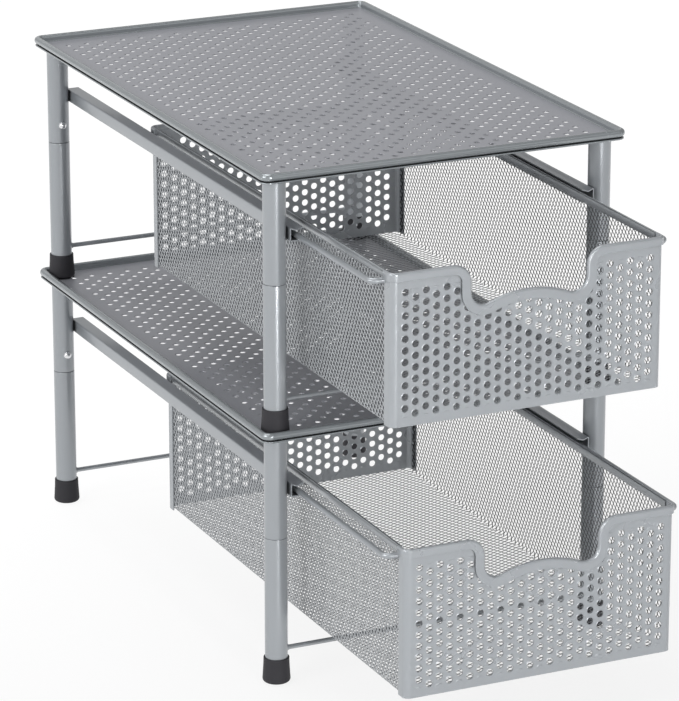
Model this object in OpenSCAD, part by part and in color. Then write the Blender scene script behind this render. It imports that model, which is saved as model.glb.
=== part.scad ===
// Two stacked under-sink organizers, each a tubular steel frame with a perforated
// tray on top and a wire-mesh basket drawer that slides in two side channels.
// X is to the right seen from the front, Y to the back, Z up, in millimetres.
// The origin is on the floor, in the middle of the footprint with both drawers
// pulled out as far as lower_pull and upper_pull say.

/* [Tray] */
// Width over the rolled rim
tray_w = 260.6; // [248:0.1:292]
// Depth over the rolled rim
tray_d = 402.6; // [382:0.1:462]
// Outer radius of the corners
tray_corner_r = 7; // [6.5:0.5:12]
// Thickness of the perforated sheet
tray_t = 0.6; // [0.5:0.1:1.5]
// Diameter of the rim's outer roll
rim_roll_d = 5; // [4.4:0.1:5]
// Width of the rim, from its outside to the edge of the perforated sheet
rim_w = 5.1; // [4.9:0.1:5.1]
// Height of the rim above the tray floor
rim_up = 4.5; // [3:0.1:4.8]
// Depth of the rim below the tray floor
rim_down = 2.1; // [1.9:0.1:4]
// Depth of the groove under the roll
rim_groove = 2; // [1:0.1:3]
// Height of the hem under that groove
rim_hem_h = 1.1; // [0.8:0.1:1.4]
// How far the hem stays behind the roll
rim_hem_in = 0.6; // [0.2:0.1:0.9]
// Diameter of the holes in the tray
tray_hole_d = 4; // [3:0.1:4.6]
// Distance between the holes of a row, which alternate by half
tray_hole_pitch = 13.8; // [13:0.1:20]
// Solid margin from the tray's side edge to the first hole
tray_margin_x = 16.5; // [15:0.1:30]
// Solid margin from the tray's front edge to the first hole
tray_margin_y = 18.4; // [15:0.1:30]

/* [Legs] */
// Height of one unit, from under its feet to its tray floor
unit_h = 172; // [165:1:220]
// Outer diameter of the tubes
tube_d = 15; // [14.5:0.1:15.4]
// Wall of the tubes
tube_wall = 1; // [0.8:0.1:1.5]
// Distance from the tray's side edge to the tube's axis
leg_inset_x = 13.8; // [13.8:0.1:15.5]
// Distance from the tray's front edge to the tube's axis
leg_inset_y = 13.8; // [13.8:0.1:15.5]
// Height of the joint between the leg and the post above it
seam_z = 100.8; // [80:0.1:104]
// Length of the reduced end that the post slips over
spigot_len = 24; // [18:1:26]
// Radial clearance of the reduced end in the post
spigot_gap = 0.1; // [0.05:0.05:0.2]
// Height of the screw above the joint
screw_rise = 13.3; // [8:0.1:15]
// Diameter of the screw's shank
screw_d = 3.5; // [3:0.1:4]
// Radial clearance of the screw in its holes
screw_gap = 0.05; // [0.05:0.05:0.15]
// Length of the screw's shank
screw_len = 5; // [3:0.5:6]
// Diameter of the screw's domed head
screw_head_d = 6.4; // [5.5:0.1:7.5]
// Height of the screw's domed head
screw_head_h = 2.2; // [1.5:0.1:3]
// Height of the crossbars above the floor
crossbar_z = 22.1; // [19:0.1:30]
// Diameter of the crossbars
crossbar_d = 3.2; // [2.5:0.1:5]

/* [Feet] */
// Height of the rubber feet
foot_h = 17.2; // [14:0.1:17.3]
// Diameter of a foot at its top
foot_top_d = 17; // [16.6:0.1:17.2]
// Diameter of a foot on the floor
foot_base_d = 17.3; // [17:0.1:17.3]
// Rubber under the end of the tube
foot_sole = 5; // [3:0.5:8]
// Radial clearance of the tube in the foot
foot_gap = 0.05; // [0.05:0.05:0.1]
// Radius of the foot's lower edge
foot_edge_r = 1; // [0.5:0.1:1.5]

/* [Channels] */
// Height of the underside of the channels
channel_z = 129.1; // [118:0.1:132]
// Height of the channels
channel_h = 9; // [8.6:0.1:12]
// Width of the channels
channel_w = 9; // [8:0.1:9.5]
// Sheet thickness of the channels
channel_t = 0.8; // [0.7:0.1:1.1]
// How far the channels pass the axis of the front tubes
channel_front = 7.5; // [4:0.5:12]
// How far the channels pass the axis of the back tubes
channel_back = 2.5; // [1:0.5:12]
// Length of the pressed-down lip at the mouth of the channels
lip_len = 6; // [3:0.5:12]
// Depth to which the lip is pressed down
lip_drop = 1.5; // [0.5:0.1:2]

/* [Drawers] */
// Depth of a drawer from face to back
drawer_d = 381; // [330:1:381]
// Height of a drawer
drawer_h = 99.7; // [90:0.1:110]
// Height of a drawer's upper edge above the axis of its runners
drawer_top = 7; // [5:0.1:7.4]
// How far the lower drawer is pulled out
lower_pull = 144; // [0:1:249]
// How far the upper drawer is pulled out
upper_pull = 122; // [0:0.5:249]
// Sheet thickness of the front and back panels
panel_t = 0.8; // [0.6:0.1:1.2]
// Outer radius of the panels' upright corners
panel_corner_r = 4.5; // [4:0.5:8]
// Length of the panels' returns along the drawer's sides
panel_return = 5; // [2:0.5:6]
// Diameter of the holes in the panels
panel_hole_d = 4.7; // [3.5:0.1:5]
// Number of columns of holes in a panel, which alternate by half a row
panel_columns = 25; // [15:2:25]
// Distance from the panel's side to the axis of its first column
panel_margin_x = 9.8; // [9.6:0.1:14]
// Number of rows of holes in a panel
panel_rows = 11; // [7:1:11]
// Distance between the rows
panel_row_pitch = 7.5; // [7.2:0.1:7.8]
// Solid margin from the panel's lower edge to the first hole
panel_margin_z = 7.9; // [5:0.1:9]
// Width of the trim band along the top of the panels
trim_w = 6.5; // [5:0.1:8]
// Thickness of the trim band
trim_t = 0.8; // [0.5:0.1:1]
// Half width of the hand cut-out at its straight sides
scoop_half_w = 40.3; // [34:0.1:46]
// Depth of the hand cut-out at its two low points
scoop_depth = 27.5; // [24:0.5:36]
// Depth of the hand cut-out at the crest between them
scoop_crest_depth = 21.3; // [20:0.1:23]
// Radius of the cut-out's upper corners
scoop_top_r = 12; // [9:0.5:14]
// Radius of the cut-out's low points
scoop_low_r = 9; // [8:0.5:12]

/* [Mesh] */
// Thickness of the expanded-metal mesh
mesh_t = 0.6; // [0.5:0.1:1]
// Radius of the fold between the mesh's sides and floor
mesh_fold_r = 3; // [2:0.5:5]
// Length of a mesh opening, drawn coarser than the finest real mesh
mesh_gap_l = 24; // [16:1:30]
// Height of a mesh opening
mesh_gap_h = 12; // [8:0.5:16]
// Width of the strands between the openings
mesh_strand = 2.6; // [1:0.1:3]
// Height of the folded rim strip on a drawer's side
rim_strip_h = 7.5; // [6:0.5:8]
// Sheet thickness of the rim strip
rim_strip_t = 0.6; // [0.5:0.1:1]

/* [Runners] */
// Diameter of the runner wire
runner_d = 4; // [3.5:0.1:4.3]
// Height of the runner above the channel's lower flange
runner_gap = 0.2; // [0.1:0.05:0.5]
// Clearance between the runner and the channel's upright side
runner_side = 3.2; // [2:0.1:3.6]
// Distance from the drawer's side to the runner's axis
runner_out = 8; // [6:0.5:9]
// Radius of the runner's bends at its axis
runner_bend_r = 5; // [3.5:0.5:6]
// Distance from the drawer's back to the rear end of the runner
runner_inset = 1; // [0.5:0.5:4]
// Distance between a closed drawer's runner and the stop in the channel
stop_gap = 0.3; // [0.2:0.1:1]

/* [Hidden] */
$fn = 64;
// Cuts run past the surface that they cut by this
over = 1;
// The unit's own axes: tube centres, and the tray's inner face
leg_x = tray_w / 2 - leg_inset_x;
leg_y = tray_d / 2 - leg_inset_y;
tube_r = tube_d / 2;
post_z = unit_h - tray_t;
screw_z = seam_z + screw_rise;
channel_x = leg_x - tube_r;
channel_y0 = -leg_y - channel_front;
channel_y1 = leg_y + channel_back;
// A closed drawer's runner stops against the channel's bent end
stop_y = channel_y1 - channel_t;
closed_back_y = stop_y - stop_gap + runner_inset;
closed_face_y = closed_back_y - drawer_d;
runner_z = channel_z + channel_t + runner_gap + runner_d / 2;
// The drawer hangs between the channels, so its width follows the tray's
runner_x = channel_x - channel_t - runner_side - runner_d / 2;
side_x = runner_x - runner_out;
drawer_w = 2 * side_x;
panel_column_pitch = (drawer_w - 2 * panel_margin_x) / (panel_columns - 1);
panel_reach = panel_corner_r + panel_return;
panel_z1 = runner_z + drawer_top;
drawer_z = panel_z1 - drawer_h;
mesh_x = side_x - panel_t;
// The arc of the cut-out's crest touches both arcs of its low points
scoop_low_x = scoop_half_w - scoop_low_r;
scoop_low_level = scoop_depth - scoop_low_r;
crest_lift = scoop_crest_depth - scoop_low_level;
crest_r = (scoop_low_x * scoop_low_x + crest_lift * crest_lift - scoop_low_r * scoop_low_r)
    / (2 * (scoop_low_r - crest_lift));
crest_angle = atan2(scoop_low_x, crest_r + crest_lift);
// The origin is the middle of the footprint
face_y_min = closed_face_y - max(lower_pull, upper_pull) - trim_t;
frame_y = -(face_y_min + tray_d / 2) / 2;

UNIT_PIECES = ["tray_floor", "tray_rim",
    "front_left_post", "front_right_post", "back_left_post", "back_right_post",
    "front_left_leg", "front_right_leg", "back_left_leg", "back_right_leg",
    "front_crossbar", "back_crossbar", "left_channel", "right_channel",
    "feet", "leg_screws",
    "drawer_front", "drawer_front_trim", "drawer_back", "drawer_back_trim",
    "drawer_left_mesh", "drawer_right_mesh", "drawer_floor_mesh",
    "drawer_left_rim", "drawer_right_rim", "left_runner", "right_runner"];

// Places a piece of one unit: "lower" stands on the floor, "upper" on the lower tray
module in_unit(unit) {
    translate([0, frame_y, unit == "upper" ? unit_h : 0]) children();
}

// Places a piece of a drawer, drawn with its face at Y = 0, where it is pulled out to
module in_drawer(unit) {
    in_unit(unit)
        translate([0, closed_face_y - (unit == "upper" ? upper_pull : lower_pull), 0]) children();
}

// Mirrors a piece drawn for the right or the back to the left or the front
module on_side(sx, sy = 1) {
    mirror([sx < 0 ? 1 : 0, 0, 0]) mirror([0, sy < 0 ? 1 : 0, 0]) children();
}

// A rectangle with round corners, centred
module round_rect(w, d, r) {
    square([w - 2 * r, d], center = true);
    square([w, d - 2 * r], center = true);
    for (x = [-1, 1], y = [-1, 1]) translate([x * (w / 2 - r), y * (d / 2 - r)]) circle(r);
}

// The perforated tray sheet inside the rim
module tray_floor() {
    half_x = floor((tray_w / 2 - tray_margin_x) / (tray_hole_pitch / 2));
    half_y = floor((tray_d / 2 - tray_margin_y) / (tray_hole_pitch / 2));
    color("darkgray")
        translate([0, 0, unit_h - tray_t])
            linear_extrude(tray_t)
                difference() {
                    round_rect(tray_w - 2 * rim_w, tray_d - 2 * rim_w, tray_corner_r - rim_w);
                    for (i = [-half_x : half_x], j = [-half_y : half_y])
                        if ((i + j + half_x + half_y) % 2 == 0)
                            translate([i * tray_hole_pitch / 2, j * tray_hole_pitch / 2])
                                circle(d = tray_hole_d, $fn = 24);
                }
}

// Section of the rim, with its outside on X = 0 and the tray floor at Y = 0:
// a wall with a roll on its outside, its lower part set back, and a hem at the lower edge
module rim_section() {
    r = rim_roll_d / 2;
    translate([-r, rim_up - r]) circle(r, $fn = 32);
    translate([-rim_w, -rim_down]) square([rim_w - rim_groove, rim_down + rim_up - r]);
    translate([-rim_w, -rim_down]) square([rim_w - rim_hem_in, rim_hem_h]);
}

// The rim: its section carried round the tray's outline
module tray_rim() {
    run_x = tray_w / 2 - tray_corner_r;
    run_y = tray_d / 2 - tray_corner_r;
    color("silver")
        translate([0, 0, unit_h]) {
            for (s = [-1, 1]) {
                on_side(s)
                    translate([tray_w / 2, run_y, 0]) rotate([90, 0, 0]) linear_extrude(2 * run_y) rim_section();
                on_side(1, s)
                    translate([-run_x, tray_d / 2, 0])
                        rotate([90, 0, 90]) linear_extrude(2 * run_x) rim_section();
            }
            for (x = [-1, 1], y = [-1, 1])
                on_side(x, y)
                    translate([run_x, run_y, 0])
                        rotate_extrude(angle = 90) translate([tray_corner_r, 0]) rim_section();
        }
}

// A round hole along Y through one wall of the tube, on the side that faces the other legs
module screw_hole() {
    translate([0, 0, screw_z])
        rotate([90, 0, 0]) cylinder(h = tube_r + over, d = screw_d + 2 * screw_gap);
}

// The upper tube of a leg, welded under the tray
module post(sx, sy) {
    color("silver")
        on_side(sx, sy)
            translate([leg_x, leg_y, 0])
                difference() {
                    translate([0, 0, seam_z]) cylinder(h = post_z - seam_z, r = tube_r);
                    translate([0, 0, seam_z - over])
                        cylinder(h = post_z - seam_z + 2 * over, r = tube_r - tube_wall);
                    screw_hole();
                }
}

// The lower tube of a leg, with a reduced end that slips into the post
module leg(sx, sy) {
    inner_r = tube_r - tube_wall;
    spigot_r = inner_r - spigot_gap;
    color("silver")
        on_side(sx, sy)
            translate([leg_x, leg_y, 0])
                difference() {
                    rotate_extrude()
                        polygon([[inner_r, foot_sole], [tube_r, foot_sole], [tube_r, seam_z],
                            [spigot_r, seam_z], [spigot_r, seam_z + spigot_len],
                            [spigot_r - tube_wall, seam_z + spigot_len],
                            [spigot_r - tube_wall, seam_z - tube_wall], [inner_r, seam_z - tube_wall]]);
                    screw_hole();
                }
}

// A thin rod between the two legs of one end, saddled on the tubes
module crossbar(sy) {
    color("silver")
        on_side(1, sy)
            translate([0, leg_y, 0])
                difference() {
                    translate([-leg_x, 0, crossbar_z])
                        rotate([0, 90, 0]) cylinder(h = 2 * leg_x, d = crossbar_d, $fn = 32);
                    for (x = [-leg_x, leg_x])
                        translate([x, 0, crossbar_z - crossbar_d]) cylinder(h = 2 * crossbar_d, r = tube_r);
                }
}

// Section of the side channel, open towards the drawer: web on X = 0, underside on Y = 0
module channel_section() {
    difference() {
        translate([-channel_w, 0]) square([channel_w, channel_h]);
        translate([-channel_w - over, channel_t])
            square([channel_w + over - channel_t, channel_h - 2 * channel_t]);
    }
}

// The same section with its upper flange pressed down in the middle
module lip_section() {
    top = channel_h;
    difference() {
        channel_section();
        translate([-channel_w - over, top - channel_t])
            square([channel_w + over - channel_t, channel_t + over]);
    }
    polygon([[-channel_t, top], [-channel_w / 2, top - lip_drop], [-channel_w, top],
        [-channel_w, top - channel_t], [-channel_w / 2, top - channel_t - lip_drop],
        [-channel_t, top - channel_t]]);
}

// The channel that a drawer's runner slides in, welded on the inner side of two posts.
// Its lip keeps the runner down at the mouth, and its rear end is bent in as a stop.
module channel(sx) {
    color("silver")
        on_side(sx)
            translate([channel_x, 0, channel_z]) {
                translate([0, channel_y1, 0])
                    rotate([90, 0, 0]) linear_extrude(channel_y1 - channel_y0 - lip_len) channel_section();
                translate([0, channel_y0 + lip_len, 0])
                    rotate([90, 0, 0]) linear_extrude(lip_len) lip_section();
                translate([-channel_w, stop_y, 0]) cube([channel_w, channel_t, channel_h]);
            }
}

// The rubber feet: tapered cups on the ends of the legs
module feet() {
    base_r = foot_base_d / 2;
    top_r = foot_top_d / 2;
    bore_r = tube_r + foot_gap;
    color("#303034")
        for (x = [-1, 1], y = [-1, 1])
            on_side(x, y)
                translate([leg_x, leg_y, 0])
                    difference() {
                        rotate_extrude() {
                            polygon([[0, 0], [base_r - foot_edge_r, 0], [base_r, foot_edge_r],
                                [top_r, foot_h], [0, foot_h]]);
                        }
                        translate([0, 0, foot_sole]) cylinder(h = foot_h, r = bore_r);
                    }
}

// Dome-headed screws that hold each post on its leg, on the side that faces the other legs
module leg_screws() {
    head_r = screw_head_d / 2;
    dome_r = (head_r * head_r + screw_head_h * screw_head_h) / (2 * screw_head_h);
    color("white")
        for (x = [-1, 1], y = [-1, 1])
            on_side(x, y)
                translate([leg_x, leg_y - tube_r, screw_z])
                    rotate([90, 0, 0]) {
                        intersection() {
                            translate([0, 0, screw_head_h - dome_r]) sphere(dome_r);
                            cylinder(h = screw_head_h, r = head_r);
                        }
                        translate([0, 0, -screw_len]) cylinder(h = screw_len, d = screw_d);
                    }
}

// Plan of a panel: a sheet with its face on Y = 0, two round corners and two returns
module panel_plan(grow = 0) {
    module outline(shrink) {
        translate([0, drawer_w / 2])
            round_rect(drawer_w - 2 * shrink, drawer_w - 2 * shrink, panel_corner_r - shrink);
    }
    intersection() {
        difference() {
            outline(-grow);
            outline(grow > 0 ? 0 : panel_t);
        }
        translate([-drawer_w, -over]) square([2 * drawer_w, panel_reach + over]);
    }
}

// The corners and returns of a panel, without its flat face
module panel_ends(z0, z1, grow = 0) {
    face_half = side_x - panel_corner_r;
    translate([0, 0, z0])
        linear_extrude(z1 - z0)
            difference() {
                panel_plan(grow);
                translate([-face_half, -over]) square([2 * face_half, panel_corner_r + over]);
            }
}

// Everything above the hand cut-out's edge, on a panel whose top edge is Y = 0.
// With grow, the edge is moved outwards by that much, and the top edge moves down with it.
module scoop_region(grow = 0) {
    half = scoop_half_w + grow;
    top_r = scoop_top_r - grow;
    tip = [(crest_r - grow) * sin(crest_angle), (crest_r - grow) * cos(crest_angle)];
    crest_y = -scoop_crest_depth - crest_r;
    translate([-half, -scoop_low_level]) square([2 * half, scoop_low_level + over]);
    for (s = [-1, 1]) {
        mirror([s < 0 ? 1 : 0, 0]) {
            translate([scoop_low_x, -scoop_low_level]) circle(scoop_low_r + grow);
            difference() {
                translate([half, -scoop_top_r]) square([top_r, scoop_top_r + over]);
                translate([half + top_r, -scoop_top_r]) circle(top_r);
                translate([half, over]) square([top_r, over]);
            }
        }
    }
    difference() {
        translate([-tip[0], crest_y + tip[1]]) square([2 * tip[0], -crest_y - tip[1] - scoop_low_level]);
        translate([0, crest_y]) circle(crest_r - grow, $fn = 256);
    }
    if (grow > 0) translate([-drawer_w, -grow]) square([2 * drawer_w, grow + over]);
}

// The holes of a panel, with the panel's lower edge on Y = 0.
// Every second column sits half a row lower, so its lowest hole keeps the margin.
module panel_holes() {
    for (i = [0 : panel_columns - 1], j = [0 : panel_rows - 1]) {
        x = (i - (panel_columns - 1) / 2) * panel_column_pitch;
        z = panel_margin_z + j * panel_row_pitch + (i % 2 == 0 ? panel_row_pitch / 2 : 0);
        translate([x, z]) circle(d = panel_hole_d, $fn = 24);
    }
}

// The flat face of a panel, in the plane of the panel
module panel_face(scooped) {
    face_half = side_x - panel_corner_r;
    difference() {
        translate([-face_half, 0]) square([2 * face_half, drawer_h]);
        difference() {
            panel_holes();
            if (scooped) translate([0, drawer_h]) scoop_region(trim_w / 2);
        }
        if (scooped) translate([0, drawer_h]) scoop_region();
    }
}

// A perforated sheet panel, drawn as the drawer's front with its face on Y = 0
module panel(scooped) {
    translate([0, panel_t, drawer_z])
        rotate([90, 0, 0]) linear_extrude(panel_t) panel_face(scooped);
    panel_ends(drawer_z, panel_z1);
}

// The raised band on the upper edge of a panel, round its corners and along the cut-out
module panel_trim(scooped) {
    face_half = side_x - panel_corner_r;
    translate([0, 0, panel_z1])
        rotate([90, 0, 0])
            linear_extrude(trim_t)
                difference() {
                    intersection() {
                        translate([-face_half, -drawer_h]) square([2 * face_half, drawer_h]);
                        if (scooped) scoop_region(trim_w);
                        else translate([-face_half, -trim_w]) square([2 * face_half, trim_w]);
                    }
                    if (scooped) scoop_region();
                }
    panel_ends(panel_z1 - trim_w, panel_z1, trim_t);
}

module drawer_front() {
    color("silver") panel(true);
}

module drawer_front_trim() {
    color("gainsboro") panel_trim(true);
}

module drawer_back() {
    color("silver") translate([0, drawer_d, 0]) on_side(1, -1) panel(false);
}

module drawer_back_trim() {
    color("gainsboro") translate([0, drawer_d, 0]) on_side(1, -1) panel_trim(false);
}

// Diamond openings over a field that is l long and h high, from its lower left corner
module mesh_gaps(l, h) {
    step_l = mesh_gap_l + mesh_strand;
    step_h = mesh_gap_h + mesh_strand;
    count_l = floor((l - mesh_strand) / step_l);
    count_h = floor((h - mesh_strand) / step_h);
    for (i = [0 : 2 * count_l - 2], j = [0 : 2 * count_h - 2])
        if ((i + j) % 2 == 0)
            translate([l / 2 + (i - count_l + 1) * step_l / 2, h / 2 + (j - count_h + 1) * step_h / 2])
                polygon([[-mesh_gap_l / 2, 0], [0, -mesh_gap_h / 2], [mesh_gap_l / 2, 0], [0, mesh_gap_h / 2]]);
}

// One mesh side of a drawer, folded in at its lower edge to meet the floor
module side_mesh(sx) {
    y0 = panel_corner_r;
    l = drawer_d - 2 * panel_corner_r;
    z0 = drawer_z + mesh_fold_r;
    h = panel_z1 - rim_strip_t - z0;
    color("slategray")
        on_side(sx) {
            translate([mesh_x - mesh_t, y0, z0])
                rotate([90, 0, 90])
                    linear_extrude(mesh_t)
                        difference() {
                            square([l, h]);
                            mesh_gaps(l, h - rim_strip_h + rim_strip_t);
                        }
            translate([mesh_x - mesh_fold_r, y0 + l, z0])
                rotate([90, 0, 0])
                    linear_extrude(l)
                        difference() {
                            circle(mesh_fold_r);
                            circle(mesh_fold_r - mesh_t);
                            translate([-mesh_fold_r - over, 0])
                                square(2 * (mesh_fold_r + over));
                            translate([-mesh_fold_r - over, -mesh_fold_r - over])
                                square([mesh_fold_r + over, 2 * (mesh_fold_r + over)]);
                        }
        }
}

// The mesh floor of a drawer, between the folds of its sides
module floor_mesh() {
    half = mesh_x - mesh_fold_r;
    inner_d = drawer_d - 2 * panel_t;
    color("slategray")
        translate([0, drawer_d / 2, drawer_z])
            linear_extrude(mesh_t)
                difference() {
                    intersection() {
                        round_rect(2 * mesh_x, inner_d, panel_corner_r - panel_t);
                        square([2 * half, inner_d], center = true);
                    }
                    rotate(90)
                        translate([-inner_d / 2 + panel_corner_r, -half])
                            mesh_gaps(inner_d - 2 * panel_corner_r, 2 * half);
                }
}

// The strip folded over the upper edge of a mesh side
module drawer_rim(sx) {
    l = drawer_d - 2 * panel_reach;
    outer = side_x;
    inner = mesh_x - mesh_t - rim_strip_t;
    color("gainsboro")
        on_side(sx)
            translate([0, panel_reach + l, panel_z1 - rim_strip_h])
                rotate([90, 0, 0])
                    linear_extrude(l)
                        difference() {
                            translate([inner, 0]) square([outer - inner, rim_strip_h]);
                            translate([mesh_x - mesh_t, -over]) square([mesh_t, rim_strip_h - rim_strip_t + over]);
                        }
}

// The runner wire: straight in the channel, both ends bent in and welded to the drawer's side
module runner(sx) {
    y0 = panel_reach + runner_d / 2;
    y1 = drawer_d - runner_inset - runner_d / 2;
    bend_x = runner_x - runner_bend_r;
    color("silver")
        on_side(sx)
            difference() {
                translate([0, 0, runner_z]) {
                    translate([runner_x, y1 - runner_bend_r, 0])
                        rotate([90, 0, 0]) cylinder(h = y1 - y0 - 2 * runner_bend_r, d = runner_d);
                    for (end = [[y0, -1], [y1, 1]]) {
                        translate([bend_x, end[0] - end[1] * runner_bend_r, 0])
                            on_side(1, end[1])
                                rotate_extrude(angle = 90) translate([runner_bend_r, 0]) circle(d = runner_d);
                        translate([side_x, end[0], 0])
                            rotate([0, 90, 0]) cylinder(h = bend_x - side_x, d = runner_d);
                    }
                }
                // At its rear weld the wire fits under the lower edge of the back's trim band
                translate([side_x - over, y1 - runner_d, panel_z1 - trim_w])
                    cube([over + trim_t, 2 * runner_d, trim_w]);
            }
}

for (unit = ["lower", "upper"]) {
    pre = str(unit, "_");
    in_unit(unit) tray_floor();
    in_unit(unit) tray_rim();
    in_unit(unit) post(-1, -1);
    in_unit(unit) post(1, -1);
    in_unit(unit) post(-1, 1);
    in_unit(unit) post(1, 1);
    in_unit(unit) leg(-1, -1);
    in_unit(unit) leg(1, -1);
    in_unit(unit) leg(-1, 1);
    in_unit(unit) leg(1, 1);
    in_unit(unit) crossbar(-1);
    in_unit(unit) crossbar(1);
    in_unit(unit) channel(-1);
    in_unit(unit) channel(1);
    in_unit(unit) feet();
    in_unit(unit) leg_screws();
    in_drawer(unit) drawer_front();
    in_drawer(unit) drawer_front_trim();
    in_drawer(unit) drawer_back();
    in_drawer(unit) drawer_back_trim();
    in_drawer(unit) side_mesh(-1);
    in_drawer(unit) side_mesh(1);
    in_drawer(unit) floor_mesh();
    in_drawer(unit) drawer_rim(-1);
    in_drawer(unit) drawer_rim(1);
    in_drawer(unit) runner(-1);
    in_drawer(unit) runner(1);
}
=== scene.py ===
"""Two stacked drawer organizers in silver-grey steel: perforated trays on tubular legs, and mesh drawers."""

import math

import bpy
import numpy as np
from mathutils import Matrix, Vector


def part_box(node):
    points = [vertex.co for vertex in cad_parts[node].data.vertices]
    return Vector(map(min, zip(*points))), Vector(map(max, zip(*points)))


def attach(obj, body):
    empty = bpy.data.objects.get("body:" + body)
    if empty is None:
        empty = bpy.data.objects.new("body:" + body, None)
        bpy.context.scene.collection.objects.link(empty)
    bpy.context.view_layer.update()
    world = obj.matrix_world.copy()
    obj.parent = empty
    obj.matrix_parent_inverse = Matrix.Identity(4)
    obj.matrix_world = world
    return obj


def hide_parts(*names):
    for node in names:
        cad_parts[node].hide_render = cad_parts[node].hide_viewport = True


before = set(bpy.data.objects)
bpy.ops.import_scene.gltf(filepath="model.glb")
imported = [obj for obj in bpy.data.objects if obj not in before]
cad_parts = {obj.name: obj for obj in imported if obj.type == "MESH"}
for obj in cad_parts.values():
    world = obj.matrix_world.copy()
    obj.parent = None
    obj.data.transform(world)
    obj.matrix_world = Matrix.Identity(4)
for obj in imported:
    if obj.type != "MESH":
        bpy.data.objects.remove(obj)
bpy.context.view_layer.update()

bl_info = {
    "name": "Stacked Drawer Organizer",
    "version": (1, 0, 0),
    "blender": (4, 5, 0),
    "location": "3D View > Sidebar > Organizer",
    "description": "Builds two stacked drawer organizers with perforated trays and mesh drawers",
    "category": "Add Mesh",
}

MM = 0.001
UNITS = ("lower", "upper")
SIDES = (("left", -1), ("right", 1))
ENDS = (("front", -1), ("back", 1))
UP = (0.0, 0.0, 1.0)


def screen_colour(red, green, blue):
    """The linear colour of one seen on screen, each part from 0 to 255: the usual 2.4 power curve."""
    parts = np.array([red, green, blue]) / 255
    return tuple(float(p) for p in np.where(parts > 0.04045, ((parts + 0.055) / 1.055) ** 2.4, parts / 12.92))


# Property groups: what a user would change


def length(name, more, millimetres):
    """A length. Its description is its name and what more there is to say."""
    return bpy.props.FloatProperty(
        name=name, description=f"{name} {more}", default=millimetres * MM, min=0.0, subtype="DISTANCE",
        unit="LENGTH", precision=4
    )


def colour(name, more, value):
    return bpy.props.FloatVectorProperty(
        name=name, description=f"{name} {more}", default=value, size=3, min=0.0, max=1.0, subtype="COLOR"
    )


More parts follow.
